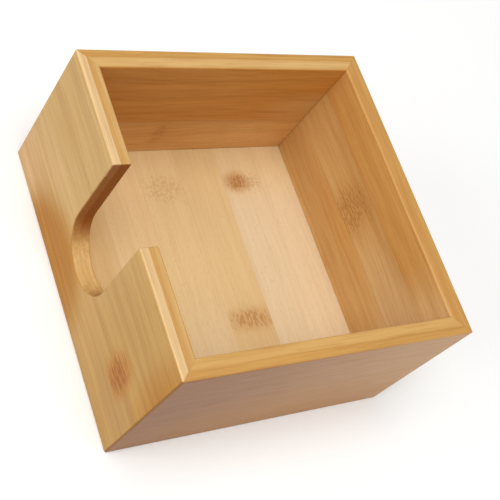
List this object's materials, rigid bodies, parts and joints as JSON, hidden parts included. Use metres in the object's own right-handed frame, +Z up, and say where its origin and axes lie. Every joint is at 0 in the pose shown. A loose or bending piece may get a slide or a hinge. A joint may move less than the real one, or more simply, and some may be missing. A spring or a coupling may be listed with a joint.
{
  "type": "tissue box",
  "caption": "Open square bamboo box with a deep finger notch in the front wall, which keeps a stack of folded napkins or tissues on a table.",
  "frame": {"origin": "middle of the foot, on the surface that the box stands on", "axes": "+Z up, out of the open top; -Y towards the user, through the wall with the finger notch; +X to the right seen from the notch"},
  "size_m": [0.15, 0.15, 0.08],
  "materials": {
    "bamboo_outer_ply": "laminated bamboo, sanded, satin clear lacquer",
    "bamboo_inner_ply": "laminated bamboo, sanded, satin clear lacquer",
    "bamboo_floor": "laminated bamboo, sanded, satin clear lacquer"
  },
  "bodies": {
    "root": {"back_wall_inner_strip_1": "bamboo_inner_ply", "back_wall_inner_strip_2": "bamboo_inner_ply", "back_wall_inner_strip_3": "bamboo_inner_ply", "back_wall_inner_strip_4": "bamboo_inner_ply", "back_wall_outer_strip_1": "bamboo_outer_ply", "back_wall_outer_strip_2": "bamboo_outer_ply", "back_wall_outer_strip_3": "bamboo_outer_ply", "back_wall_outer_strip_4": "bamboo_outer_ply", "floor_strip_1": "bamboo_floor", "floor_strip_2": "bamboo_floor", "floor_strip_3": "bamboo_floor", "floor_strip_4": "bamboo_floor", "floor_strip_5": "bamboo_floor", "floor_strip_6": "bamboo_floor", "front_wall_inner_strip_1": "bamboo_inner_ply", "front_wall_inner_strip_2": "bamboo_inner_ply", "front_wall_inner_strip_3_left": "bamboo_inner_ply", "front_wall_inner_strip_3_right": "bamboo_inner_ply", "front_wall_inner_strip_4_left": "bamboo_inner_ply", "front_wall_inner_strip_4_right": "bamboo_inner_ply", "front_wall_outer_strip_1": "bamboo_outer_ply", "front_wall_outer_strip_2_left": "bamboo_outer_ply", "front_wall_outer_strip_2_right": "bamboo_outer_ply", "front_wall_outer_strip_3_left": "bamboo_outer_ply", "front_wall_outer_strip_3_right": "bamboo_outer_ply", "front_wall_outer_strip_4_left": "bamboo_outer_ply", "front_wall_outer_strip_4_right": "bamboo_outer_ply", "left_wall_inner_strip_1": "bamboo_inner_ply", "left_wall_inner_strip_2": "bamboo_inner_ply", "left_wall_inner_strip_3": "bamboo_inner_ply", "left_wall_inner_strip_4": "bamboo_inner_ply", "left_wall_outer_strip_1": "bamboo_outer_ply", "left_wall_outer_strip_2": "bamboo_outer_ply", "left_wall_outer_strip_3": "bamboo_outer_ply", "left_wall_outer_strip_4": "bamboo_outer_ply", "right_wall_inner_strip_1": "bamboo_inner_ply", "right_wall_inner_strip_2": "bamboo_inner_ply", "right_wall_inner_strip_3": "bamboo_inner_ply", "right_wall_inner_strip_4": "bamboo_inner_ply", "right_wall_outer_strip_1": "bamboo_outer_ply", "right_wall_outer_strip_2": "bamboo_outer_ply", "right_wall_outer_strip_3": "bamboo_outer_ply", "right_wall_outer_strip_4": "bamboo_outer_ply"}
  },
  "joints": []
}
